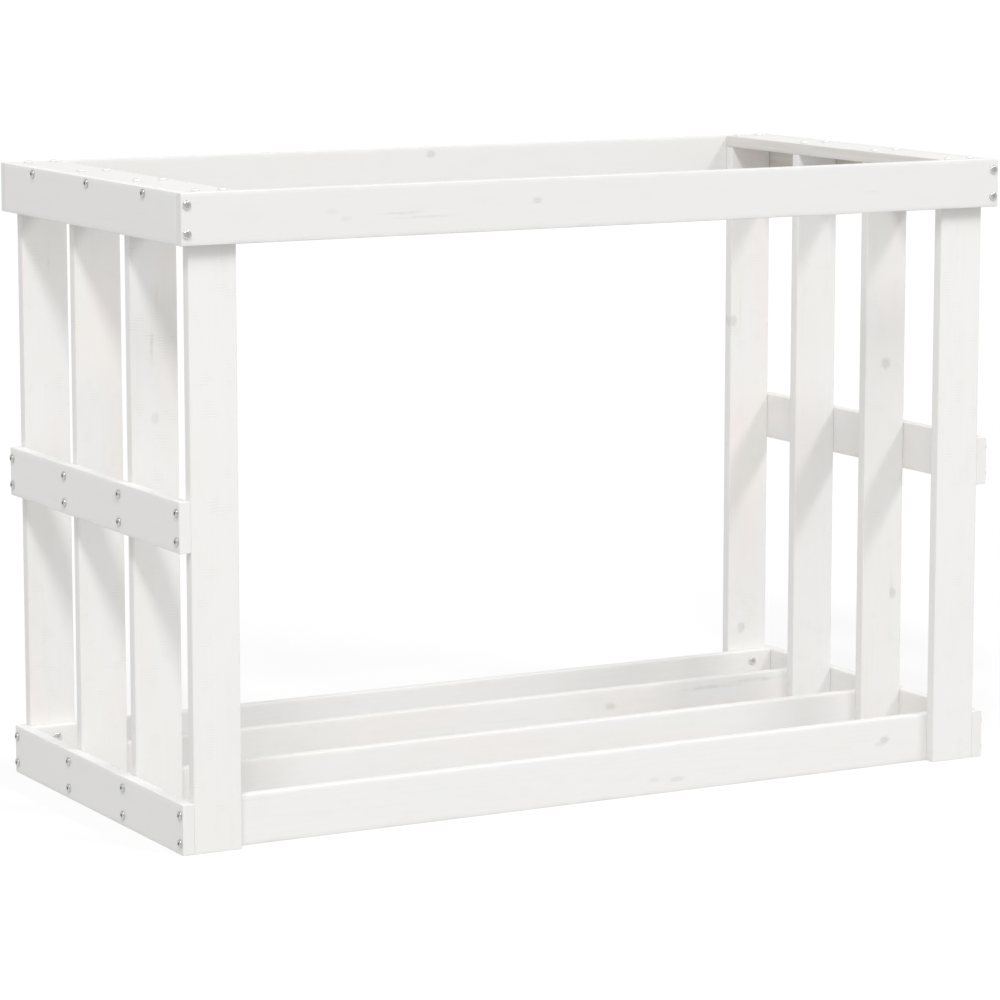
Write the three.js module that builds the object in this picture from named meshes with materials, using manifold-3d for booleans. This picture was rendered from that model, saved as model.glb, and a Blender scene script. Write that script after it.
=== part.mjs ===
// Log rack for kindling and firewood. Two slatted ends are joined by two long rails at the top
// and by four long rails at the floor. All boards are cut from one planed section and screwed.
//
// Millimetres, +Z up. X runs along the rack from left to right, and Y from its front to its back.
// The origin is on the floor, under the middle of the rack.

import * as THREE from 'three';
import { mergeVertices } from 'three/addons/utils/BufferGeometryUtils.js';
import Module from 'manifold-3d';

const wasm = await Module();
wasm.setup();

// ---------------------------------------------------------------- driving dimensions

// Overall size, over the boards
const RACK_LENGTH = 1080;
const RACK_DEPTH = 520;
const RACK_HEIGHT = 740;

// The planed section that every board is cut from, with its eased long edges
const BOARD_WIDTH = 58;
const BOARD_THICKNESS = 14;
const ARRIS_RADIUS = 2;

// Layout
const UPRIGHTS_PER_END = 4;
const MIDDLE_BOARD_HEIGHT = 341; // floor to the lower edge of the board half way up each end
const JOINT_GAP = 0.1; // between two boards that meet, and under a screw's head

// The pan-head screw
const HEAD_DIAMETER = 10;
const HEAD_HEIGHT = 2.5;
const HEAD_RIM = 0.7; // straight part of the head, below its dome
const RECESS_DIAMETER = 4.4;
const RECESS_DEPTH = 1.6;
const SHANK_DIAMETER = 4;
const TIP_LENGTH = 5;

// Where the screws sit
const SCREW_EDGE_DISTANCE = 13; // screw axis to the edge of the board that it holds
const CROSSING_CLEARANCE = 6; // a side screw's tip stops this far short of a floor-rail screw
const TIP_COVER = 3; // wood left over a tip, where two boards lie face to face
const HOLE_CLEARANCE = 0.3; // all round a shank, and in front of its tip

// How finely the round shapes are cut
const ARRIS_STEPS = 1; // each long edge gets twice as many facets
const SCREW_SIDES = 12;
const DOME_STEPS = 3;

// ---------------------------------------------------------------- places worked out from them

const halfLength = RACK_LENGTH / 2;
const halfDepth = RACK_DEPTH / 2;

// Each end stands between the top rails, and its uprights stand inside its side boards.
const endHalfDepth = halfDepth - BOARD_THICKNESS - JOINT_GAP;
const sideBoardX = halfLength - BOARD_THICKNESS / 2;
const sideBoardInnerX = halfLength - BOARD_THICKNESS;
const uprightX = sideBoardInnerX - JOINT_GAP - BOARD_WIDTH / 2;
const uprightHeight = RACK_HEIGHT - BOARD_THICKNESS - JOINT_GAP;
const floorRailLength = 2 * (sideBoardInnerX - JOINT_GAP);

const firstRowY = -endHalfDepth + BOARD_THICKNESS / 2;
const rowPitch = (-2 * firstRowY) / (UPRIGHTS_PER_END - 1);
const lastRow = UPRIGHTS_PER_END - 1;

// A screw bites into the edge or the end of the board behind, and less where it meets its face.
const edgeBite = BOARD_WIDTH / 2 - SHANK_DIAMETER / 2 - CROSSING_CLEARANCE;
const faceBite = BOARD_THICKNESS - TIP_COVER;

const ENDS = [
  { name: 'left', side: -1 },
  { name: 'right', side: 1 },
];
const LONG_SIDES = [
  { name: 'front', side: -1 },
  { name: 'rear', side: 1 },
];
const rows = Array.from({ length: UPRIGHTS_PER_END }, (_, row) => row);

function rowY(row) {
  return firstRowY + row * rowPitch;
}

// A floor rail lies behind its uprights, but the last one lies in front of them, inside the rack.
function floorRailSide(row) {
  return row === lastRow ? -1 : 1;
}

function floorRailY(row) {
  return rowY(row) + floorRailSide(row) * (BOARD_THICKNESS + JOINT_GAP);
}

// ---------------------------------------------------------------- materials

function paintedPine() {
  return new THREE.MeshStandardMaterial({ color: 0xecebe8, roughness: 0.7, metalness: 0 });
}

function zincPlatedSteel() {
  return new THREE.MeshStandardMaterial({ color: 0xb4b4b1, roughness: 0.42, metalness: 0.85 });
}

// ---------------------------------------------------------------- solids

// A closed geometry as a solid that can be cut, in the space that matrix takes it to.
function toSolid(geometry, matrix) {
  const bare = new THREE.BufferGeometry();
  bare.setAttribute('position', geometry.getAttribute('position').clone());
  bare.setIndex(geometry.index);
  bare.applyMatrix4(matrix);
  const merged = mergeVertices(bare);
  const triVerts = new Uint32Array(merged.index.array);
  const vertProperties = merged.getAttribute('position').array;
  return new wasm.Manifold(new wasm.Mesh({ numProp: 3, vertProperties, triVerts }));
}

function fromSolid(solid) {
  const mesh = solid.getMesh();
  const geometry = new THREE.BufferGeometry();
  geometry.setAttribute('position', new THREE.BufferAttribute(mesh.vertProperties, 3));
  geometry.setIndex(new THREE.BufferAttribute(mesh.triVerts, 1));
  const faceted = geometry.toNonIndexed();
  faceted.computeVertexNormals();
  return faceted;
}

// ---------------------------------------------------------------- boards

// The board's section: its width along X and its thickness along Y, with eased corners.
function boardSection() {
  const x = BOARD_WIDTH / 2 - ARRIS_RADIUS;
  const y = BOARD_THICKNESS / 2 - ARRIS_RADIUS;
  const section = new THREE.Shape();
  section.absarc(x, y, ARRIS_RADIUS, 0, Math.PI / 2);
  section.absarc(-x, y, ARRIS_RADIUS, Math.PI / 2, Math.PI);
  section.absarc(-x, -y, ARRIS_RADIUS, Math.PI, (3 * Math.PI) / 2);
  section.absarc(x, -y, ARRIS_RADIUS, (3 * Math.PI) / 2, 2 * Math.PI);
  section.closePath();
  return section;
}

// How a board, which is drawn along Z, is turned to lie in the rack
const STANDING = new THREE.Euler(0, 0, 0);
const ON_EDGE_ALONG_X = new THREE.Euler(0, Math.PI / 2, 0);
const ON_EDGE_ALONG_Y = new THREE.Euler(-Math.PI / 2, 0, Math.PI / 2);
const FLAT_ALONG_Y = new THREE.Euler(-Math.PI / 2, 0, 0);

const boards = new Map();

function addBoard(group, name, length, lie, x, y, z) {
  const settings = { depth: length, curveSegments: ARRIS_STEPS, bevelEnabled: false };
  const geometry = new THREE.ExtrudeGeometry(boardSection(), settings);
  geometry.translate(0, 0, -length / 2);
  const board = new THREE.Mesh(geometry, paintedPine());
  board.name = name;
  board.rotation.copy(lie);
  board.position.set(x, y, z);
  group.add(board);
  boards.set(name, board);
}

// One slatted end: four uprights, three boards on their outer edges and one flat on their tops.
function slattedEnd(end) {
  const group = new THREE.Group();
  const sideLength = 2 * endHalfDepth;
  const sideX = end.side * sideBoardX;
  const topZ = RACK_HEIGHT - BOARD_WIDTH / 2;
  const middleZ = MIDDLE_BOARD_HEIGHT + BOARD_WIDTH / 2;
  const capZ = RACK_HEIGHT - BOARD_THICKNESS / 2;
  const capX = end.side * uprightX;
  for (const row of rows) {
    const name = `${end.name}_upright_${row + 1}`;
    addBoard(group, name, uprightHeight, STANDING, capX, rowY(row), uprightHeight / 2);
  }
  addBoard(group, `${end.name}_top_board`, sideLength, ON_EDGE_ALONG_Y, sideX, 0, topZ);
  addBoard(group, `${end.name}_middle_board`, sideLength, ON_EDGE_ALONG_Y, sideX, 0, middleZ);
  addBoard(group, `${end.name}_bottom_board`, sideLength, ON_EDGE_ALONG_Y, sideX, 0, BOARD_WIDTH / 2);
  addBoard(group, `${end.name}_cap_board`, sideLength, FLAT_ALONG_Y, capX, 0, capZ);
  return group;
}

// The long rails cover the ends of both top boards, in front and behind.
function topRails() {
  const group = new THREE.Group();
  const z = RACK_HEIGHT - BOARD_WIDTH / 2;
  for (const face of LONG_SIDES) {
    const y = face.side * (halfDepth - BOARD_THICKNESS / 2);
    addBoard(group, `${face.name}_top_rail`, RACK_LENGTH, ON_EDGE_ALONG_X, 0, y, z);
  }
  return group;
}

// The rails that the logs lie on run between the two bottom boards, one to each row of uprights.
function floorRails() {
  const group = new THREE.Group();
  for (const row of rows) {
    const name = `floor_rail_${row + 1}`;
    addBoard(group, name, floorRailLength, ON_EDGE_ALONG_X, 0, floorRailY(row), BOARD_WIDTH / 2);
  }
  return group;
}

// ---------------------------------------------------------------- screws

// Both profiles go up the screw's axis, Y, with the seat of its head at zero.
function shankProfile(bite, clearance) {
  const radius = SHANK_DIAMETER / 2 + clearance;
  const reach = BOARD_THICKNESS + JOINT_GAP + bite + clearance;
  return [
    new THREE.Vector2(0, -reach),
    new THREE.Vector2(radius, TIP_LENGTH - reach),
  ];
}

function screwGeometry(bite) {
  const shankRadius = SHANK_DIAMETER / 2;
  const headRadius = HEAD_DIAMETER / 2;
  const recessRadius = RECESS_DIAMETER / 2;
  const profile = shankProfile(bite, 0);
  profile.push(new THREE.Vector2(shankRadius, 0));
  profile.push(new THREE.Vector2(headRadius, 0));
  for (let step = 0; step <= DOME_STEPS; step++) {
    const angle = (step / DOME_STEPS) * (Math.PI / 2);
    const radius = recessRadius + (headRadius - recessRadius) * Math.cos(angle);
    const height = HEAD_RIM + (HEAD_HEIGHT - HEAD_RIM) * Math.sin(angle);
    profile.push(new THREE.Vector2(radius, height));
  }
  profile.push(new THREE.Vector2(0, HEAD_HEIGHT - RECESS_DEPTH));
  return new THREE.LatheGeometry(profile, SCREW_SIDES);
}

function holeGeometry(bite) {
  const radius = SHANK_DIAMETER / 2 + HOLE_CLEARANCE;
  const profile = shankProfile(bite, HOLE_CLEARANCE);
  profile.push(new THREE.Vector2(radius, HEAD_HEIGHT));
  profile.push(new THREE.Vector2(0, HEAD_HEIGHT));
  return new THREE.LatheGeometry(profile, SCREW_SIDES);
}

// Drills the screw's hole through both boards that it joins.
function drill(screw, bite, boardNames) {
  screw.updateMatrixWorld(true);
  for (const name of boardNames) {
    const board = boards.get(name);
    board.updateWorldMatrix(true, false);
    const intoBoard = board.matrixWorld.clone().invert().multiply(screw.matrixWorld);
    const hole = toSolid(holeGeometry(bite), intoBoard);
    const wood = toSolid(board.geometry, new THREE.Matrix4());
    board.geometry = fromSolid(wood.subtract(hole));
  }
}

const ALONG_SHANK = new THREE.Vector3(0, -1, 0);

// A screw whose head seats at x, y, z on a board's face, and which is driven along heading.
function addScrew(group, name, bite, boardNames, [x, y, z], heading) {
  const direction = new THREE.Vector3(...heading);
  const screw = new THREE.Mesh(screwGeometry(bite), zincPlatedSteel());
  screw.name = name;
  screw.quaternion.setFromUnitVectors(ALONG_SHANK, direction);
  screw.position.set(x, y, z).addScaledVector(direction, -JOINT_GAP);
  group.add(screw);
  drill(screw, bite, boardNames);
}

// Through the ends of the long top rails into the end grain of the top boards
function cornerScrews(end) {
  const group = new THREE.Group();
  const z = RACK_HEIGHT - SCREW_EDGE_DISTANCE;
  for (const face of LONG_SIDES) {
    const name = `${end.name}_${face.name}_corner_screw`;
    const joined = [`${face.name}_top_rail`, `${end.name}_top_board`];
    const seat = [end.side * sideBoardX, face.side * halfDepth, z];
    addScrew(group, name, edgeBite, joined, seat, [0, -face.side, 0]);
  }
  return group;
}

// Through the top board into the edge of the cap board, midway between the middle uprights
function capEdgeScrew(end) {
  const group = new THREE.Group();
  const gap = Math.floor((UPRIGHTS_PER_END - 1) / 2);
  const y = (rowY(gap) + rowY(gap + 1)) / 2;
  const z = RACK_HEIGHT - BOARD_THICKNESS / 2;
  const joined = [`${end.name}_top_board`, `${end.name}_cap_board`];
  const seat = [end.side * halfLength, y, z];
  addScrew(group, `${end.name}_cap_edge_screw`, edgeBite, joined, seat, [-end.side, 0, 0]);
  return group;
}

// Each upright is held at its top, at its middle, at its foot and to its floor rail.
function uprightScrews(end, row) {
  const group = new THREE.Group();
  const number = row + 1;
  const upright = `${end.name}_upright_${number}`;
  const y = rowY(row);
  const fromEdge = BOARD_WIDTH - SCREW_EDGE_DISTANCE;

  const capX = end.side * (uprightX + BOARD_WIDTH / 2 - SCREW_EDGE_DISTANCE);
  const capSeat = [capX, y, RACK_HEIGHT];
  const capJoined = [`${end.name}_cap_board`, upright];
  addScrew(group, `${end.name}_cap_screw_${number}`, edgeBite, capJoined, capSeat, [0, 0, -1]);

  const heights = { middle: MIDDLE_BOARD_HEIGHT + fromEdge, bottom: fromEdge };
  for (const [level, z] of Object.entries(heights)) {
    const name = `${end.name}_${level}_screw_${number}`;
    const joined = [`${end.name}_${level}_board`, upright];
    addScrew(group, name, edgeBite, joined, [end.side * halfLength, y, z], [-end.side, 0, 0]);
  }

  const away = floorRailSide(row);
  const railSeat = [end.side * uprightX, floorRailY(row) + (away * BOARD_THICKNESS) / 2, fromEdge];
  const railJoined = [`floor_rail_${number}`, upright];
  addScrew(group, `${end.name}_rail_screw_${number}`, faceBite, railJoined, railSeat, [0, -away, 0]);
  return group;
}

// ---------------------------------------------------------------- the rack

const rack = new THREE.Group();
rack.add(topRails());
rack.add(floorRails());
for (const end of ENDS) {
  rack.add(slattedEnd(end));
}
for (const end of ENDS) {
  rack.add(cornerScrews(end));
  rack.add(capEdgeScrew(end));
  for (const row of rows) {
    rack.add(uprightScrews(end, row));
  }
}

export default rack;
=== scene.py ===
"""The looks of the log rack: white-washed pine boards and zinc-plated screws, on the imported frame.

Metres, +Z up, in the frame's own axes. Each board and each screw is a mesh made here. It stands
where the frame's solid of its name is, and the 40 screws that have no solid in the frame are placed
from their neighbours.
"""

import math

import bmesh
import bpy
import numpy as np
from mathutils import Matrix, Vector


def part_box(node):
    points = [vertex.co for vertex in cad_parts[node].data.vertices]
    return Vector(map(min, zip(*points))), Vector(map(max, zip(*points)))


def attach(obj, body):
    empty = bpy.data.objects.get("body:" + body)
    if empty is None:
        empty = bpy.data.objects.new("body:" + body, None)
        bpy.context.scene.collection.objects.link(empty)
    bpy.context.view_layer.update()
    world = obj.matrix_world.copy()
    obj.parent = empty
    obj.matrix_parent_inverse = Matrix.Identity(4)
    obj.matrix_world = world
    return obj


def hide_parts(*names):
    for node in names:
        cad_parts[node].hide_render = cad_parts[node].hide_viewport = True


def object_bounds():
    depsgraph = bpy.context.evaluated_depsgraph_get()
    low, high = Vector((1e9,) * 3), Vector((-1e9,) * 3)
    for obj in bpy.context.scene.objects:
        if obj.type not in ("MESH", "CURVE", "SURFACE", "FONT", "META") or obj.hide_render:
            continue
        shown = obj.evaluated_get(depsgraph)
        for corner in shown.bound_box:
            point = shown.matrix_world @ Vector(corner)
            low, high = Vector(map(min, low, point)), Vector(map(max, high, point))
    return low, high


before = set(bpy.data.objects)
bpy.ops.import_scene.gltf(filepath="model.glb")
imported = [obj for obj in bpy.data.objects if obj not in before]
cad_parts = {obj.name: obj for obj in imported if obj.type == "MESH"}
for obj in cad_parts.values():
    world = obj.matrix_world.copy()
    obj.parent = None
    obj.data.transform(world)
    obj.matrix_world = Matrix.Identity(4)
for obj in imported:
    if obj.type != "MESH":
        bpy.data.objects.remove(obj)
cad_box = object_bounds()

MM = 0.001
BODY = "root"

# ---------------------------------------------------------------- driving values

# Where each series of random draws starts
BOARD_SEED = 1000
COAT_SEED = 2000
SCREW_SEED = 7

# Boards: how finely they are cut, and how far the hand of the maker shows
ARRIS_RADIUS = 0.8 * MM
ARRIS_SEGMENTS = 4
FACE_STEP = 4.5 * MM
LENGTH_STEP = 5.0 * MM
END_EASE = 0.5 * MM
FACE_WAVE = 0.03 * MM
FACE_WAVELENGTHS = (0.31, 0.13, 0.047)
ARRIS_WEAR = 0.16 * MM
WEAR_WAVELENGTHS = (0.23, 0.071, 0.029)
BOARD_CREASE = math.radians(35)

# Nicks in the edges. The last two say how far one reaches along the edge, in millimetres.
NICK_DEPTH = 0.5 * MM
NICKS_PER_METRE = 2.0
LEAST_NICK_REACH = 2.0
NICK_REACH_SPREAD = 3.0

# Paint and wood, as linear colours
PAINT = (0.845, 0.840, 0.828)
PINK_WASH = (0.862, 0.812, 0.790)
STRAW_WASH = (0.828, 0.826, 0.780)
# Painted shade: the dark brown given to faces that lie in shade under the cap boards
PAINTED_SHADE_COLOUR = (0.520, 0.450, 0.365)
KNOT_COLOUR = (0.430, 0.400, 0.360)
STREAK_COLOUR = (0.440, 0.350, 0.290)

# Screws, by the way the head faces: the bright and the dull parts of the plating, the painted shade
# in the recess, how far the recess spans, and how metallic the plating looks. The plating is painted
# light and shade: heads facing up are lighter and less metallic, heads facing the ends darker.
HEADS = {
    "long": ((0.88, 0.88, 0.875), (0.74, 0.74, 0.735), (0.70, 0.70, 0.695), 3.4 * MM, 1.0),
    "end": ((0.68, 0.68, 0.675), (0.60, 0.60, 0.595), (0.10, 0.10, 0.10), 5.4 * MM, 1.0),
    "top": ((0.90, 0.90, 0.89), (0.84, 0.84, 0.83), (0.30, 0.30, 0.295), 3.4 * MM, 0.3),
}

# The planer's ripples are this far apart. For each kind of board: how strongly ripples and grain
# show, and how bright its wash is against PAINT. Single boards stray a little from that.
RIPPLE_STEP = 3.4 * MM
SURFACES = {
    "upright": (1.0, 0.5, 1.0),
    "floor_rail": (0.5, 0.6, 1.0),
    "top_rail": (0.1, 0.2, 0.95),
    "cap_board": (0.3, 0.35, 0.95),
    "board": (0.3, 0.35, 1.0),
}
COAT_SPREAD = 0.01

# Noises in wood and wash: their scales along, across and through a board, for a metre. A board
# reads them at a place of its own, up to NOISE_REACH off, and some of them ELSEWHERE from there.
KNOT_WOBBLE = (150, 330, 330)
STREAK_DRIFT = (45, 90, 90)
STREAK_BREAKS = (55, 20, 20)
RING_DRIFT = (5.0, 18.0, 18.0)
FIBRES = (18.0, 700.0, 700.0)
STREAKS = (5.0, 160.0, 160.0)
PINK_PATCHES = (5.0, 17.0, 17.0)
STRAW_PATCHES = (6.0, 20.0, 20.0)
UNEVEN_COAT = (24.0, 60.0, 60.0)
RIPPLE_BEND = (60.0, 45.0, 45.0)
RIPPLE_PATCHES = (38.0, 42.0, 42.0)
NOISE_REACH = 50
ELSEWHERE = (7.3, 2.1, 4.7)

# Where each noise starts to show, and where it shows in full
SHOWS = {
    "pink": (0.42, 0.66),
    "straw": (0.46, 0.66),
    "ripples": (0.575, 0.665),
    "fibres": (0.5, 0.8),
    "streaks": (0.62, 0.74),
    "coat": (0.50, 0.80),
    "breaks": (0.34, 0.58),
    "painted_shade": (0.35, 0.65),
}

# How much each thing darkens the coat, and how much it stands up from it. "brushed" is the part of
# the fibres' relief that every board has, whatever its grain.
SOIL = {
    "rings": 0.045,
    "fibres": 0.03,
    "streaks": 0.09,
    "coat": 0.030,
    "ripples": 0.070,
    "sawn_end": 0.02,
}
RELIEF = {
    "rings": 0.35,
    "brushed": 0.10,
    "fibres": 0.30,
    "ripples": 0.60,
    "coat": 0.30,
    "knots": 0.8,
}
RELIEF_HEIGHT = 0.12 * MM
RELIEF_STRENGTH = 0.6

# The least share of straw tint and what full warmth adds to it, how far the ripples swing, in
# radians, and the depths from a sawn end and from the edge of a face with painted shade over which each
# fades out
LEAST_STRAW = 0.10
WARM_STRAW = 0.60
RIPPLE_SWING = 6.0
SAWN_EDGE = (0.1 * MM, 0.5 * MM)
PAINTED_SHADE_EDGE = (0.5 * MM, 2.0 * MM)

# Growth rings: how wide they are, how far their heart lies across from the board's middle and below
# it, all in millimetres, and how it leans along the board
RING_WIDTH = (2.4, 3.6)
HEART_ACROSS = 14
HEART_DEPTH = (22, 50)
HEART_LEAN = 0.012

# How far the rings wander and how far a knot pushes them, and within a ring, the share of its width
# where the dark late wood ends, and how steeply it darkens up to there
RING_WANDER = 9.0 * MM
KNOT_PUSH = 5.0 * MM
LATE_WOOD_END = 0.9
LATE_WOOD_RISE = 2.5

# Marks, in shares of their own half sizes: how far a streak drifts and an outline wobbles, where a
# mark fades out, where a knot gets its darker rim, and how far off the growth rings bend
STREAK_WANDER = 1.8
OUTLINE_WOBBLE = 0.9
MARK_EDGE = (0.15, 1.35)
KNOT_RIM = (0.15, 0.80)
RINGS_BEND = (0.9, 4.0)

# How strong a knot's heart is, what its rim adds, and how strong a streak is in its gaps
KNOT_HEART = 0.75
RIM_GAIN = 0.45
GAP_STRENGTH = 0.4

# Gloss of the wash, and the plating of the screws
WASH_ROUGHNESS = 0.55
FIBRE_ROUGHNESS = 0.16
WASH_SPECULAR = 0.35
ZINC_CLOUDS = 900.0
ZINC_CLOUDS_SHOW = (0.35, 0.70)
ZINC_SCRATCHES = (300.0, 2600.0, 300.0)
ZINC_ROUGHNESS = 0.24
CLOUD_ROUGHNESS = 0.20
SCRATCH_DEPTH = 0.03 * MM
SCRATCH_STRENGTH = 0.25

# Screws
SCREW_SIDES = 24
HEAD_RADIUS = 5.0 * MM
HEAD_HEIGHT = 2.5 * MM
HEAD_RIM = 0.8 * MM
CROWN_RADIUS = 3.1 * MM
CROWN_STEPS = 5
HEAD_CHAMFER = 0.1 * MM
CORE_RADIUS = 1.4 * MM
THREAD_RADIUS = 2.0 * MM
SHANK_RADIUS = THREAD_RADIUS * 0.9
THREAD_PITCH = 1.8 * MM
RIDGE_SHARE = 0.5
THREAD_ROWS_PER_TURN = 4
PLAIN_SHANK = 3.0 * MM
TIP_LENGTH = 5.0 * MM
SCREW_CREASE = math.radians(40)

# The cross recess: the width of its arms against its span, and its depth. The cutter's span and
# arms have these shares of that at its floor and at its top, which stands above the head.
RECESS_SHARE = 0.32
RECESS_DEPTH = 1.0 * MM
CUTTER_FLOOR = (0.35, 0.7)
CUTTER_TOP = (1.35, 1.1)
CUTTER_RISE = 1 * MM
CROWN_MARGIN = 0.05 * MM

# The camera, from the fit of the photograph's straight edges
CAMERA_PLACE = (-2.3870, -4.3610, 1.1037)
CAMERA_YAW = math.radians(28.658)
CAMERA_PITCH = math.radians(8.872)
CAMERA_LENS = 149.09
CAMERA_REACH = 100
SENSOR_WIDTH = 36.0

# Light: two long strip lamps overhead, in front to the left and to the right, that run from front to
# rear and are aimed at the rack's middle, an even sky, and a floor that throws back an even light.
# The angles in LAMPS are in degrees, and "power" is the light that a lamp throws on the rack, in
# watts a square metre.
RACK_MIDDLE = (cad_box[0] + cad_box[1]) / 2
LAMP_DISTANCE = 14.0
LAMP_WIDTH = math.radians(7.5)
LAMPS = {
    "left_lamp": {"azimuth": -34.1, "elevation": 49.1, "span": 21.0, "power": 1.26},
    "right_lamp": {"azimuth": 35.8, "elevation": 39.5, "span": 22.0, "power": 0.74},
}
SKY = 0.94
FLOOR_BOUNCE = 0.63

# What a gloss shows of the studio, in front of the rack and behind it. It turns from the one to the
# other between these places on the floor, rearward, and between these directions in the sky.
FRONT_GLOSS = 0.52
REAR_GLOSS = 0.86
FLOOR_GLOSS_TURN = (-1.5, -0.4)
SKY_GLOSS_TURN = (-0.9, 0.9)

# Floor, as the eye sees it: its glow near the rack and far off, and the grey that takes the shadow
FLOOR_SIZE = 60.0
FLOOR_WHITE = 0.63
NEAR_FLOOR = 1.0
FAR_FLOOR_WHITE = 0.78
FAR_FLOOR = 12.0
FLOOR_SHADE = 0.34

# ---------------------------------------------------------------- the boards in the frame

END_BOARDS = ["top_board", "middle_board", "bottom_board", "cap_board"]
UPRIGHT_ROWS = (1, 2, 3, 4)
ENDS = {"left": -1, "right": 1}
LONG_SIDES = {"front": -1, "rear": 1}


def board_names():
    names = ["front_top_rail", "rear_top_rail"]
    names += [f"floor_rail_{row}" for row in UPRIGHT_ROWS]
    for end in ENDS:
        names += [f"{end}_upright_{row}" for row in UPRIGHT_ROWS]
        names += [f"{end}_{board}" for board in END_BOARDS]
    return names


def board_axes(node):
    """The axes of the frame that a board's length, width and thickness lie along."""
    low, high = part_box(node)
    size = high - low
    length, width, thickness = sorted(range(3), key=lambda axis: -size[axis])
    return length, width, thickness


def board_placement(node):
    """Where a board lies: the matrix from its own axes (length, width, thickness), and its size."""
    low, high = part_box(node)
    axes = board_axes(node)
    columns = [Vector([float(k == axis) for k in range(3)]) for axis in axes]
    if columns[0].cross(columns[1]).dot(columns[2]) < 0:
        columns[2].negate()
    matrix = Matrix([list(row) for row in zip(*columns)]).to_4x4()
    matrix.translation = (low + high) / 2
    size = [(high - low)[axis] for axis in axes]
    return matrix, size


# ---------------------------------------------------------------- board meshes


def even_steps(start, end, step):
    count = max(1, round(abs(end - start) / step))
    return np.linspace(start, end, count + 1)


def board_section(width, thickness):
    """Points round a board's section, with each point's outward direction and how far it is arris."""
    inner_y = width / 2 - ARRIS_RADIUS
    inner_z = thickness / 2 - ARRIS_RADIUS
    corners = [(inner_y, inner_z), (-inner_y, inner_z), (-inner_y, -inner_z), (inner_y, -inner_z)]
    points, normals, arris = [], [], []
    for quarter, (y, z) in enumerate(corners):
        for step in range(ARRIS_SEGMENTS + 1):
            angle = (quarter + step / ARRIS_SEGMENTS) * math.pi / 2
            normal = (math.cos(angle), math.sin(angle))
            last = (y + ARRIS_RADIUS * normal[0], z + ARRIS_RADIUS * normal[1])
            points.append(last)
            normals.append(normal)
            arris.append(math.sin(step / ARRIS_SEGMENTS * math.pi))
        next_y, next_z = corners[(quarter + 1) % 4]
        run = math.hypot(next_y - y, next_z - z)
        for share in even_steps(0, 1, FACE_STEP / run)[1:-1]:
            points.append((last[0] + share * (next_y - y), last[1] + share * (next_z - z)))
            normals.append(normal)
            arris.append(0.0)
    return np.array(points), np.array(normals), np.array(arris)


def waves(random, at, wavelengths):
    """A smooth random curve between 0 and 1, as a sum of sines."""
    total = sum(np.sin(2 * math.pi * (at / length + random.random())) for length in wavelengths)
    return 0.5 + 0.5 * total / len(wavelengths)


def board_mesh(name, size, random):
    """A planed board along X: eased arrises, a slightly wavy planed face, worn edges and nicks."""
    length, width, thickness = size
    section, normals, arris = board_section(width, thickness)
    inner = even_steps(-length / 2 + END_EASE, length / 2 - END_EASE, LENGTH_STEP)
    along = np.concatenate([[-length / 2], inner, [length / 2]])
    rings, around = len(along), len(section)

    girth = np.linspace(0, 2 * math.pi, around, endpoint=False)
    inset = np.zeros((rings, around))
    wave_height = FACE_WAVE / len(FACE_WAVELENGTHS)
    for wavelength in FACE_WAVELENGTHS:
        turn = 2 * math.pi * random.random()
        lean = np.cos(girth[None, :] + turn)
        inset += wave_height * lean * waves(random, along, [wavelength])[:, None]
    inset = np.abs(inset)
    wear = waves(random, along, WEAR_WAVELENGTHS)
    inset += ARRIS_WEAR * wear[:, None] ** 2 * arris[None, :]
    for _ in range(round(NICKS_PER_METRE * length)):
        centre = (random.random() - 0.5) * length
        reach = (LEAST_NICK_REACH + NICK_REACH_SPREAD * random.random()) * MM
        column = random.integers(around)
        near = np.exp(-(((along - centre) / reach) ** 2))
        beside = np.exp(-((((np.arange(around) - column + around / 2) % around) - around / 2) ** 2))
        inset += NICK_DEPTH * random.random() * near[:, None] * (beside * arris)[None, :]
    inset[0] += END_EASE
    inset[-1] += END_EASE

    places = np.empty((rings, around, 3))
    places[:, :, 0] = along[:, None]
    places[:, :, 1:] = section[None] - inset[:, :, None] * normals[None]
    vertices = places.reshape(-1, 3)

    faces = []
    for ring in range(rings - 1):
        base, above = ring * around, (ring + 1) * around
        for k in range(around):
            after = (k + 1) % around
            faces.append((base + k, base + after, above + after, above + k))
    faces.append(tuple(range(around))[::-1])
    faces.append(tuple(range((rings - 1) * around, rings * around)))

    mesh = bpy.data.meshes.new(name)
    mesh.from_pydata(vertices.tolist(), [], faces)
    mesh.polygons.foreach_set("use_smooth", [True] * len(mesh.polygons))
    mesh.set_sharp_from_angle(angle=BOARD_CREASE)
    mesh.update()
    return mesh


# ---------------------------------------------------------------- shader helpers


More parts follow.
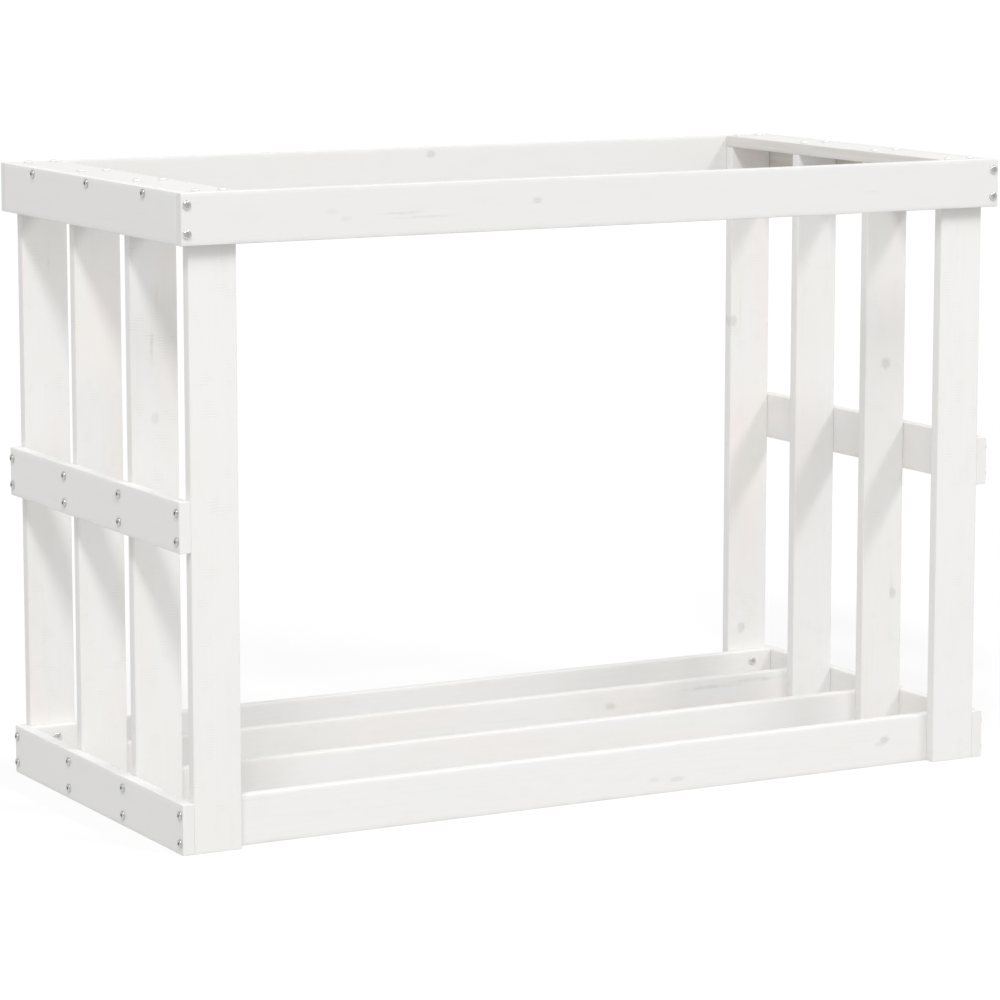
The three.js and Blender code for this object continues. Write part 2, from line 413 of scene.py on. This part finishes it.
class Shader:
    """Makes nodes in one material or world, with their inputs given by name or number."""

    def __init__(self, owner):
        self.owner = owner
        owner.use_nodes = True
        self.tree = owner.node_tree
        self.tree.nodes.clear()

    def node(self, kind, inputs=(), **settings):
        made = self.tree.nodes.new(kind)
        for key, value in settings.items():
            setattr(made, key, value)
        for key, value in dict(inputs).items():
            if isinstance(value, bpy.types.NodeSocket):
                self.tree.links.new(value, made.inputs[key])
            else:
                made.inputs[key].default_value = value
        return made

    def math(self, operation, *values, clamp=False):
        made = self.node("ShaderNodeMath", enumerate(values), operation=operation, use_clamp=clamp)
        return made.outputs[0]

    def vector(self, operation, *values):
        made = self.node("ShaderNodeVectorMath", enumerate(values), operation=operation)
        return made.outputs["Value" if operation == "LENGTH" else "Vector"]

    def noise(self, place, scale, detail, roughness=0.5):
        inputs = {"Vector": place, "Scale": scale, "Detail": detail, "Roughness": roughness}
        return self.node("ShaderNodeTexNoise", inputs).outputs["Fac"]

    def stretched_noise(self, place, scales, detail, roughness=0.5):
        """Noise with its own scale along each axis."""
        return self.noise(self.vector("MULTIPLY", place, scales), 1.0, detail, roughness)

    def bump(self, height, strength, distance):
        inputs = {"Strength": strength, "Distance": distance, "Height": height}
        return self.node("ShaderNodeBump", inputs).outputs[0]

    def principled(self, colour, roughness, normal):
        inputs = {"Base Color": colour, "Roughness": roughness, "Normal": normal}
        return self.node("ShaderNodeBsdfPrincipled", inputs)

    def band(self, value, start, end):
        """0 below start and 1 above end, smooth between them."""
        inputs = {"Value": value, "From Min": start, "From Max": end}
        made = self.node("ShaderNodeMapRange", inputs, interpolation_type="SMOOTHSTEP")
        return made.outputs["Result"]

    def mix(self, share, first, second):
        """Two colours mixed. The node has sockets for other kinds of value before those for colour."""
        first_colour, second_colour, mixed_colour = 6, 7, 2
        made = self.node("ShaderNodeMix", {0: share}, data_type="RGBA")
        for socket, value in ((first_colour, first), (second_colour, second)):
            if isinstance(value, bpy.types.NodeSocket):
                self.tree.links.new(value, made.inputs[socket])
            else:
                made.inputs[socket].default_value = (*value, 1.0)
        return made.outputs[mixed_colour]

    def finish(self, surface, kind="ShaderNodeOutputMaterial"):
        self.tree.links.new(surface, self.node(kind).inputs["Surface"])
        return self.owner


# ---------------------------------------------------------------- painted pine

# Knots and dark streaks that the photograph shows, by board: distance along the board from its
# middle, distance across it, half length along, half width across (all mm), and strength. Along
# and across run towards the frame's own positive axes. The narrow ones are streaks.
MARKS = {
    "front_top_rail": [
        (-358, 2, 8, 3.4, 0.12),
        (-340, -7, 7, 3.2, 0.12),
        (-268, -3, 28, 1.6, 0.20),
        (-242, -9, 38, 1.6, 0.18),
        (-97, 4, 6, 4.0, 0.34),
        (355, -4, 16, 1.5, 0.12),
    ],
    "rear_top_rail": [(32, 20, 7, 4.5, 0.38)],
    "right_upright_2": [(112, 1, 7.5, 7.0, 0.40), (-180, 16, 7, 5.0, 0.38), (-172, 14, 18, 2.3, 0.12)],
    "right_upright_4": [(135, -25, 8, 5.5, 0.34), (-275, -9, 8, 6.0, 0.34), (160, -14, 40, 1.8, 0.10)],
    "left_upright_2": [(242, 4, 20, 2.6, 0.20), (190, -3, 22, 2.6, 0.22), (108, 0, 7, 5.0, 0.20)],
    "left_upright_4": [(264, 5, 18, 2.4, 0.18)],
    "floor_rail_1": [
        (110, -14, 10, 3.6, 0.24),
        (78, -12, 8, 3.0, 0.16),
        (406, 3, 7, 4.5, 0.42),
        (400, -1, 9, 3.2, 0.22),
    ],
    "floor_rail_3": [(203, 7, 8, 4.5, 0.34), (352, 17, 46, 2.8, 0.26), (424, 21, 46, 2.8, 0.30)],
    "left_middle_board": [(-70, 9, 10, 7.0, 0.16)],
}
WIDEST_STREAK = 2.8

# How much of a board is tinted pink or straw, from 0 to 1: partly the wood under the wash, partly
# painted warm bounce light, strongest on the inner and rear boards that lie in shade
WARMTH = {
    "right_upright_4": 1.0,
    "right_upright_2": 0.55,
    "right_upright_3": 0.35,
    "right_middle_board": 0.80,
    "right_bottom_board": 0.60,
    "left_upright_2": 0.60,
    "left_upright_3": 0.80,
    "left_upright_4": 0.75,
    "rear_top_rail": 0.12,
    "floor_rail_3": 0.70,
    "floor_rail_2": 0.45,
    "front_top_rail": 0.06,
    "floor_rail_1": 0.15,
    "left_top_board": 0.10,
    "left_middle_board": 0.10,
    "left_bottom_board": 0.10,
}
USUAL_WARMTH = 0.30

# Faces with painted shade, darker and browner where they lie in shade under the cap boards: board,
# the board's own axis and side, and how strong
SHADED_FACES = {
    "right_top_board": ("thickness", -1, 0.58),
    "left_top_board": ("thickness", 1, 0.60),
    "right_cap_board": ("width", -1, 0.30),
}


def make_marks(shader, x, y, seeded, marks):
    """How strongly knots and streaks show at each point, and how near each point is to one."""
    knots, broken, nearness = 0.0, 0.0, 0.0
    wobble = shader.stretched_noise(seeded, KNOT_WOBBLE, detail=3.0)
    drift = shader.stretched_noise(seeded, STREAK_DRIFT, detail=2.0)
    breaks = shader.stretched_noise(seeded, STREAK_BREAKS, detail=2.0)
    for along, across, half_length, half_width, strength in marks:
        is_streak = half_width <= WIDEST_STREAK
        dx = shader.math("DIVIDE", shader.math("SUBTRACT", x, along * MM), half_length * MM)
        dy = shader.math("DIVIDE", shader.math("SUBTRACT", y, across * MM), half_width * MM)
        if is_streak:
            dy = shader.math("MULTIPLY_ADD", shader.math("SUBTRACT", drift, 0.5), STREAK_WANDER, dy)
        offset = shader.node("ShaderNodeCombineXYZ", {0: dx, 1: dy}).outputs[0]
        uneven = shader.math("SUBTRACT", wobble, 0.5)
        away = shader.math("MULTIPLY_ADD", uneven, OUTLINE_WOBBLE, shader.vector("LENGTH", offset))
        inside = shader.math("SUBTRACT", 1.0, shader.band(away, *MARK_EDGE))
        inside = shader.math("MULTIPLY", inside, strength)
        if is_streak:
            unbroken = shader.band(breaks, *SHOWS["breaks"])
            whole = shader.math("MULTIPLY_ADD", unbroken, 1 - GAP_STRENGTH, GAP_STRENGTH)
            broken = shader.math("MAXIMUM", shader.math("MULTIPLY", inside, whole), broken)
        else:
            ring = shader.math("MULTIPLY_ADD", shader.band(away, *KNOT_RIM), RIM_GAIN, KNOT_HEART)
            knots = shader.math("MAXIMUM", shader.math("MULTIPLY", inside, ring), knots)
        around = shader.math("SUBTRACT", 1.0, shader.band(away, *RINGS_BEND))
        nearness = shader.math("MAXIMUM", around, nearness)
    return knots, broken, nearness


def growth_rings(shader, x, y, z, seeded, nearness, random):
    """Late wood, as rings round a line beside the board that bend round its knots, so they run on
    from the faces over the edges to the sawn ends."""
    ring_width = random.uniform(*RING_WIDTH) * MM
    heart_y = random.uniform(-HEART_ACROSS, HEART_ACROSS) * MM
    heart_z = -random.uniform(*HEART_DEPTH) * MM
    lean = random.uniform(-HEART_LEAN, HEART_LEAN)
    drift = shader.stretched_noise(seeded, RING_DRIFT, detail=3.0)
    from_heart_y = shader.math("SUBTRACT", y, shader.math("MULTIPLY_ADD", x, lean, heart_y))
    from_heart_z = shader.math("SUBTRACT", z, heart_z)
    from_heart = shader.node("ShaderNodeCombineXYZ", {0: from_heart_y, 1: from_heart_z}).outputs[0]
    radius = shader.math("MULTIPLY_ADD", drift, RING_WANDER, shader.vector("LENGTH", from_heart))
    radius = shader.math("MULTIPLY_ADD", nearness, KNOT_PUSH, radius)
    turn = shader.math("FRACT", shader.math("DIVIDE", radius, ring_width))
    before_end = shader.math("SUBTRACT", 1.0, shader.band(turn, LATE_WOOD_END, 1.0))
    return shader.math("POWER", shader.math("MULTIPLY", turn, before_end), LATE_WOOD_RISE)


def painted_pine(name, size, marks, warmth, surface_strengths, painted_shade, coat, random):
    """White wash over planed pine."""
    ripples, grain = surface_strengths
    washes = (PAINT, PINK_WASH, STRAW_WASH)
    white, pink_wash, straw_wash = [tuple(coat * channel for channel in wash) for wash in washes]
    shader = Shader(bpy.data.materials.new(name))
    place = shader.node("ShaderNodeTexCoord").outputs["Object"]
    x, y, z = shader.node("ShaderNodeSeparateXYZ", {0: place}).outputs
    seeded = shader.vector("ADD", place, tuple(random.uniform(-NOISE_REACH, NOISE_REACH, 3)))
    elsewhere = shader.vector("ADD", seeded, ELSEWHERE)

    knots, broken, nearness = make_marks(shader, x, y, seeded, marks)
    late_wood = growth_rings(shader, x, y, z, seeded, nearness, random)
    fibres = shader.stretched_noise(seeded, FIBRES, detail=3.0, roughness=0.6)
    streaks = shader.stretched_noise(elsewhere, STREAKS, detail=3.0, roughness=0.6)

    # Tinted stretches, and the faintly uneven coat
    pink = shader.stretched_noise(seeded, PINK_PATCHES, detail=1.5)
    straw = shader.stretched_noise(elsewhere, STRAW_PATCHES, detail=1.5)
    coating = shader.stretched_noise(elsewhere, UNEVEN_COAT, detail=3.0)
    # Warmth is partly painted warm bounce light on boards that lie in shade
    straw_share = LEAST_STRAW + WARM_STRAW * warmth
    pink = shader.math("MULTIPLY", shader.band(pink, *SHOWS["pink"]), warmth)
    straw = shader.math("MULTIPLY", shader.band(straw, *SHOWS["straw"]), straw_share)
    colour = shader.mix(straw, shader.mix(pink, white, pink_wash), straw_wash)

    # The planer's ripples, in patches that reach across part of the board
    bend = shader.stretched_noise(seeded, RIPPLE_BEND, detail=1.0)
    straight = shader.math("MULTIPLY", x, 2 * math.pi / RIPPLE_STEP)
    phase = shader.math("MULTIPLY_ADD", bend, RIPPLE_SWING, straight)
    patch = shader.stretched_noise(elsewhere, RIPPLE_PATCHES, detail=2.0)
    patch = shader.math("MULTIPLY", shader.band(patch, *SHOWS["ripples"]), ripples)
    ripple = shader.math("MULTIPLY", shader.math("SINE", phase), patch)

    # What darkens the coat: late wood, fibres and streaks showing through, soiled spots, ripples
    # and the sawn ends
    soil = shader.math("MULTIPLY", late_wood, SOIL["rings"] * grain)
    shown = {"fibres": (fibres, grain), "streaks": (streaks, grain), "coat": (coating, 1.0)}
    for thing, (noise, share) in shown.items():
        soil = shader.math("MULTIPLY_ADD", shader.band(noise, *SHOWS[thing]), SOIL[thing] * share, soil)
    soil = shader.math("MULTIPLY_ADD", shader.math("MAXIMUM", ripple, 0.0), SOIL["ripples"], soil)
    from_end = shader.math("SUBTRACT", size[0] / 2, shader.math("ABSOLUTE", x))
    sawn_end = shader.math("SUBTRACT", 1.0, shader.band(from_end, *SAWN_EDGE))
    soil = shader.math("MULTIPLY_ADD", sawn_end, SOIL["sawn_end"], soil, clamp=True)
    colour = shader.mix(soil, colour, KNOT_COLOUR)
    # Painted shade: faces that lie in shade under the cap boards are made darker and browner
    if painted_shade is not None:
        axis, side, amount = painted_shade
        across, half = {"width": (y, size[1] / 2), "thickness": (z, size[2] / 2)}[axis]
        depth = shader.math("SUBTRACT", half, shader.math("MULTIPLY", across, side))
        painted_shade_mask = shader.math("SUBTRACT", 1.0, shader.band(depth, *PAINTED_SHADE_EDGE))
        streaky = shader.band(streaks, *SHOWS["painted_shade"])
        uneven = shader.math("MULTIPLY_ADD", streaky, 0.5 * amount, 0.5 * amount)
        colour = shader.mix(shader.math("MULTIPLY", painted_shade_mask, uneven), colour, PAINTED_SHADE_COLOUR)
    colour = shader.mix(knots, colour, KNOT_COLOUR)
    colour = shader.mix(broken, colour, STREAK_COLOUR)

    relief = shader.math("MULTIPLY", late_wood, RELIEF["rings"] * grain)
    relief = shader.math("MULTIPLY_ADD", fibres, RELIEF["brushed"] + RELIEF["fibres"] * grain, relief)
    relief = shader.math("MULTIPLY_ADD", ripple, RELIEF["ripples"], relief)
    relief = shader.math("MULTIPLY_ADD", coating, RELIEF["coat"], relief)
    relief = shader.math("MULTIPLY_ADD", knots, RELIEF["knots"], relief)
    bump = shader.bump(relief, RELIEF_STRENGTH, RELIEF_HEIGHT)

    roughness = shader.math("MULTIPLY_ADD", fibres, FIBRE_ROUGHNESS, WASH_ROUGHNESS)
    surface = shader.principled(colour, roughness, bump)
    surface.inputs["Specular IOR Level"].default_value = WASH_SPECULAR
    return shader.finish(surface.outputs[0])


def plated_steel(name, bright, dull, metallic):
    """Zinc-plated steel, with the clouding of the plating and fine scratches."""
    shader = Shader(bpy.data.materials.new(name))
    place = shader.node("ShaderNodeTexCoord").outputs["Object"]
    cloud = shader.noise(place, ZINC_CLOUDS, detail=3.0)
    scratch = shader.stretched_noise(place, ZINC_SCRATCHES, detail=2.0)
    colour = shader.mix(shader.band(cloud, *ZINC_CLOUDS_SHOW), bright, dull)
    roughness = shader.math("MULTIPLY_ADD", cloud, CLOUD_ROUGHNESS, ZINC_ROUGHNESS)
    bump = shader.bump(scratch, SCRATCH_STRENGTH, SCRATCH_DEPTH)
    surface = shader.principled(colour, roughness, bump)
    surface.inputs["Metallic"].default_value = metallic
    return shader.finish(surface.outputs[0])


def make_board(node, number):
    random = np.random.default_rng(BOARD_SEED + number)
    matrix, size = board_placement(node)
    mesh = board_mesh(node + "_wood", size, random)
    ripples, grain, coat = next(values for kind, values in SURFACES.items() if kind in node)
    coat += np.random.default_rng(COAT_SEED + number).uniform(-COAT_SPREAD, COAT_SPREAD)
    look = (MARKS.get(node, []), WARMTH.get(node, USUAL_WARMTH), (ripples, grain), SHADED_FACES.get(node))
    mesh.materials.append(painted_pine(node + "_wash", size, *look, coat, random))
    board = bpy.data.objects.new(node + "_wood", mesh)
    bpy.context.scene.collection.objects.link(board)
    board.matrix_world = matrix
    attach(board, BODY)
    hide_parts(node)


# ---------------------------------------------------------------- screws


def screw_profile(length):
    """Rows up the screw's axis: height, radius, and how much of the thread shows. Seat at zero."""
    rows = [(-length, 0.0, 0.0)]
    thread_end = -PLAIN_SHANK
    for height in even_steps(-length, thread_end, THREAD_PITCH / THREAD_ROWS_PER_TURN)[1:]:
        share = min(1.0, (height + length) / TIP_LENGTH)
        rows.append((height, CORE_RADIUS * share, share))
    rows.append((0.0, SHANK_RADIUS, 0.0))
    rows.append((0.0, HEAD_RADIUS - HEAD_CHAMFER, 0.0))
    rows.append((HEAD_CHAMFER, HEAD_RADIUS, 0.0))
    for step in range(CROWN_STEPS + 1):
        angle = step / CROWN_STEPS * math.pi / 2
        radius = CROWN_RADIUS + (HEAD_RADIUS - CROWN_RADIUS) * math.cos(angle)
        height = HEAD_RIM + (HEAD_HEIGHT - HEAD_RIM) * math.sin(angle)
        rows.append((height, radius, 0.0))
    rows.append((HEAD_HEIGHT, 0.0, 0.0))
    return rows


def thread(angle, height):
    """The thread's ridge, 0 to 1, where it winds past this point."""
    turn = (height / THREAD_PITCH - angle / (2 * math.pi)) % 1.0
    return max(0.0, 1.0 - abs(turn - 0.5) * 2 / RIDGE_SHARE)


def screw_body(length):
    """A closed mesh of the whole screw, along Z, still without the recess in its head."""
    made = bmesh.new()
    previous = None
    for height, radius, threaded in screw_profile(length):
        if radius == 0.0:
            ring = [made.verts.new((0, 0, height))]
        else:
            ring = []
            for side in range(SCREW_SIDES):
                angle = 2 * math.pi * side / SCREW_SIDES
                ridge = (THREAD_RADIUS - CORE_RADIUS) * threaded * thread(angle, height)
                reach = radius + ridge
                ring.append(made.verts.new((reach * math.cos(angle), reach * math.sin(angle), height)))
        if previous is not None:
            for side in range(SCREW_SIDES):
                after = (side + 1) % SCREW_SIDES
                if len(previous) == 1:
                    made.faces.new((previous[0], ring[after], ring[side]))
                elif len(ring) == 1:
                    made.faces.new((previous[side], previous[after], ring[0]))
                else:
                    made.faces.new((previous[side], previous[after], ring[after], ring[side]))
        previous = ring
    return made


def recess_cutter(recess_span):
    """A cross with tapering arms, which cuts the recess in a head."""
    made = bmesh.new()
    top = HEAD_HEIGHT + CUTTER_RISE
    bottom = HEAD_HEIGHT - RECESS_DEPTH
    for turn in (0, 1):
        corners = []
        for height, (span, width) in ((bottom, CUTTER_FLOOR), (top, CUTTER_TOP)):
            half_span = recess_span / 2 * span
            half_width = recess_span * RECESS_SHARE / 2 * width
            for along, across in ((1, 1), (-1, 1), (-1, -1), (1, -1)):
                place = Vector((along * half_span, across * half_width, height))
                corners.append(made.verts.new(Matrix.Rotation(turn * math.pi / 2, 3, "Z") @ place))
        made.faces.new(corners[3::-1])
        made.faces.new(corners[4:])
        for k in range(4):
            after = (k + 1) % 4
            made.faces.new((corners[k], corners[after], corners[4 + after], corners[4 + k]))
    return made


def to_object(made, name):
    mesh = bpy.data.meshes.new(name)
    made.to_mesh(mesh)
    made.free()
    thing = bpy.data.objects.new(name, mesh)
    bpy.context.scene.collection.objects.link(thing)
    return thing


def in_recess(centre, recess_span):
    """Whether a face of the finished screw is one that the recess cutter left."""
    under_crown = 0 < centre.z < HEAD_HEIGHT - CROWN_MARGIN
    return math.hypot(centre.x, centre.y) < recess_span / 2 and under_crown


def screw_mesh(length, recess_span, materials):
    """The finished screw: its body with the recess cut by a boolean, kept as a plain mesh. The
    second material, a darker painted shade, lies in the recess."""
    body = to_object(screw_body(length), "screw_blank")
    cutter = to_object(recess_cutter(recess_span), "recess_cutter")
    cut = body.modifiers.new("recess", "BOOLEAN")
    cut.operation = "DIFFERENCE"
    cut.solver = "EXACT"
    cut.use_self = True
    cut.object = cutter
    graph = bpy.context.evaluated_depsgraph_get()
    mesh = bpy.data.meshes.new_from_object(body.evaluated_get(graph))
    for thing in (body, cutter):
        bpy.data.objects.remove(thing)
    mesh.polygons.foreach_set("use_smooth", [True] * len(mesh.polygons))
    mesh.set_sharp_from_angle(angle=SCREW_CREASE)
    mesh.materials.clear()
    for material in materials:
        mesh.materials.append(material)
    for face in mesh.polygons:
        face.material_index = int(in_recess(face.center, recess_span))
    return mesh


class ScrewMaker:
    """Places screws. Those of one length that face one way share a mesh."""

    def __init__(self):
        self.heads = {}
        for way, (bright, dull, recess, recess_span, metallic) in HEADS.items():
            # One plating per way the head faces, lighter or darker as painted light and shade
            plate = plated_steel(f"zinc_{way}", bright, dull, metallic)
            # The recess gets a darker copy of the plating: painted shade
            self.heads[way] = (recess_span, [plate, plated_steel(f"recess_{way}", recess, recess, 1.0)])
        self.meshes = {}
        self.random = np.random.default_rng(SCREW_SEED)

    def place(self, name, seat, outward, length, node=None):
        way = ("end", "long", "top")[max(range(3), key=lambda axis: abs(outward[axis]))]
        key = (way, round(length / MM))
        if key not in self.meshes:
            self.meshes[key] = screw_mesh(length, *self.heads[way])
        screw = bpy.data.objects.new(name + "_zinc", self.meshes[key])
        bpy.context.scene.collection.objects.link(screw)
        upright = outward.to_track_quat("Z", "Y").to_matrix().to_4x4()
        spin = Matrix.Rotation(self.random.uniform(0, math.pi / 2), 4, "Z")
        screw.matrix_world = Matrix.Translation(seat) @ upright @ spin
        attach(screw, BODY)
        if node is not None:
            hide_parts(node)

    def from_node(self, node, outward):
        """The seat and length of the frame's screw of that name."""
        low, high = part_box(node)
        axis = max(range(3), key=lambda k: abs(outward[k]))
        seat = (low + high) / 2
        outer = high[axis] if outward[axis] > 0 else low[axis]
        seat[axis] = outer - outward[axis] * HEAD_HEIGHT
        return seat, (high - low)[axis] - HEAD_HEIGHT

    def pair(self, node, outward, board):
        """The frame's screw, and its twin at the other edge of the board that both hold."""
        outward = Vector(outward)
        seat, length = self.from_node(node, outward)
        self.place(node, seat, outward, length, node)
        low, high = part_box(board)
        across = board_axes(board)[1]
        twin = seat.copy()
        twin[across] = (low + high)[across] - seat[across]
        self.place(node + "_twin", twin, outward, length)

    def cap_edge(self, end, side):
        """Three screws through a top board, midway between its uprights."""
        node = f"{end}_cap_edge_screw"
        outward = Vector((side, 0, 0))
        seat, length = self.from_node(node, outward)
        self.place(node, seat, outward, length, node)
        rows = [sum(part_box(f"{end}_upright_{row}"), Vector())[1] / 2 for row in UPRIGHT_ROWS]
        for label, first, second in (("front", 0, 1), ("rear", 2, 3)):
            spot = seat.copy()
            spot[1] = (rows[first] + rows[second]) / 2
            self.place(f"{node}_{label}", spot, outward, length)


def make_screws():
    maker = ScrewMaker()
    for end, side in ENDS.items():
        for face, way in LONG_SIDES.items():
            maker.pair(f"{end}_{face}_corner_screw", (0, way, 0), f"{face}_top_rail")
        maker.cap_edge(end, side)
        for row in UPRIGHT_ROWS:
            maker.pair(f"{end}_cap_screw_{row}", (0, 0, 1), f"{end}_cap_board")
            for level in ("middle", "bottom"):
                maker.pair(f"{end}_{level}_screw_{row}", (side, 0, 0), f"{end}_{level}_board")
            behind = -1 if row == UPRIGHT_ROWS[-1] else 1
            maker.pair(f"{end}_rail_screw_{row}", (0, behind, 0), f"floor_rail_{row}")


# ---------------------------------------------------------------- the studio


def gloss_light(shader, towards_rear, start, end):
    """What a gloss shows of the studio: darker in front of the rack than behind it."""
    inputs = {"Value": towards_rear, "From Min": start, "From Max": end}
    made = shader.node("ShaderNodeMapRange", inputs)
    made.inputs["To Min"].default_value = FRONT_GLOSS
    made.inputs["To Max"].default_value = REAR_GLOSS
    return made.outputs["Result"]


def make_floor():
    """A pale floor. The eye sees it near white, with the rack's soft shadow kept, and it throws
    the same light back everywhere. Far off, where the lamps are weaker, it is made as white."""
    shader = Shader(bpy.data.materials.new("pale_floor"))
    path = shader.node("ShaderNodeLightPath").outputs
    seen = shader.math("MAXIMUM", path["Is Camera Ray"], path["Is Transmission Ray"])
    grey = (FLOOR_SHADE, FLOOR_SHADE, FLOOR_SHADE, 1.0)
    shaded = shader.node("ShaderNodeBsdfDiffuse", {"Color": grey})
    place = shader.node("ShaderNodeTexCoord").outputs["Object"]
    distance = shader.vector("LENGTH", place)
    reach = {"Value": distance, "From Min": NEAR_FLOOR, "From Max": FAR_FLOOR}
    whiteness = {"To Min": FLOOR_WHITE, "To Max": FAR_FLOOR_WHITE}
    graded = shader.node("ShaderNodeMapRange", {**reach, **whiteness})
    glow = shader.node("ShaderNodeEmission", {"Strength": graded.outputs["Result"]})
    shown = shader.node("ShaderNodeAddShader", {0: shaded.outputs[0], 1: glow.outputs[0]})
    bounce = shader.node("ShaderNodeEmission", {"Strength": FLOOR_BOUNCE})
    surface = shader.node("ShaderNodeMixShader", {0: seen, 1: bounce.outputs[0], 2: shown.outputs[0]})
    rearward = shader.node("ShaderNodeSeparateXYZ", {0: place}).outputs["Y"]
    studio = gloss_light(shader, rearward, *FLOOR_GLOSS_TURN)
    gloss = shader.node("ShaderNodeEmission", {"Strength": studio})
    inputs = {0: path["Is Glossy Ray"], 1: surface.outputs[0], 2: gloss.outputs[0]}
    material = shader.finish(shader.node("ShaderNodeMixShader", inputs).outputs[0])

    half = FLOOR_SIZE / 2
    corners = [(-half, -half, 0), (half, -half, 0), (half, half, 0), (-half, half, 0)]
    mesh = bpy.data.meshes.new("floor")
    mesh.from_pydata(corners, [], [(0, 1, 2, 3)])
    mesh.materials.append(material)
    floor = bpy.data.objects.new("floor", mesh)
    bpy.context.scene.collection.objects.link(floor)


def make_world():
    """An even sky, which the eye sees as white."""
    world = bpy.data.worlds.new("studio")
    bpy.context.scene.world = world
    shader = Shader(world)
    path = shader.node("ShaderNodeLightPath").outputs
    seen = shader.math("MAXIMUM", path["Is Camera Ray"], path["Is Transmission Ray"])
    strength = shader.math("MULTIPLY_ADD", seen, 1.0 - SKY, SKY)
    way = shader.node("ShaderNodeTexCoord").outputs["Generated"]
    rearward = shader.node("ShaderNodeSeparateXYZ", {0: way}).outputs["Y"]
    gain = shader.math("SUBTRACT", gloss_light(shader, rearward, *SKY_GLOSS_TURN), SKY)
    strength = shader.math("MULTIPLY_ADD", path["Is Glossy Ray"], gain, strength)
    background = shader.node("ShaderNodeBackground", {"Strength": strength})
    shader.finish(background.outputs[0], "ShaderNodeOutputWorld")


def make_lamp(name, azimuth, elevation, span, power):
    """A strip lamp that shines on the rack from azimuth (0 in front, positive to the right)."""
    level = math.cos(math.radians(elevation))
    side, front = math.sin(math.radians(azimuth)), -math.cos(math.radians(azimuth))
    towards = Vector((side * level, front * level, math.sin(math.radians(elevation))))
    rearward = Vector((0, 1, 0))
    along = (rearward - rearward.dot(towards) * towards).normalized()
    across = towards.cross(along)

    data = bpy.data.lights.new(name, "AREA")
    data.shape = "RECTANGLE"
    data.size = 2 * LAMP_DISTANCE * math.tan(math.radians(span) / 2)
    data.size_y = 2 * LAMP_DISTANCE * math.tan(LAMP_WIDTH / 2)
    data.energy = power * math.pi * LAMP_DISTANCE**2
    lamp = bpy.data.objects.new(name, data)
    bpy.context.scene.collection.objects.link(lamp)
    lamp.rotation_mode = "QUATERNION"
    lamp.rotation_quaternion = Matrix((along, across, towards)).transposed().to_quaternion()
    lamp.location = RACK_MIDDLE + towards * LAMP_DISTANCE


def make_camera():
    data = bpy.data.cameras.new("camera")
    data.sensor_width = SENSOR_WIDTH
    data.lens = CAMERA_LENS
    data.clip_end = CAMERA_REACH
    camera = bpy.data.objects.new("camera", data)
    bpy.context.scene.collection.objects.link(camera)
    camera.location = CAMERA_PLACE
    camera.rotation_euler = (math.pi / 2 - CAMERA_PITCH, 0, -CAMERA_YAW)
    bpy.context.scene.camera = camera


# ---------------------------------------------------------------- the scene

bpy.context.scene.view_settings.view_transform = "Standard"
make_camera()
make_world()
for name, lamp in LAMPS.items():
    make_lamp(name, **lamp)
make_floor()
for number, node in enumerate(board_names()):
    make_board(node, number)
make_screws()
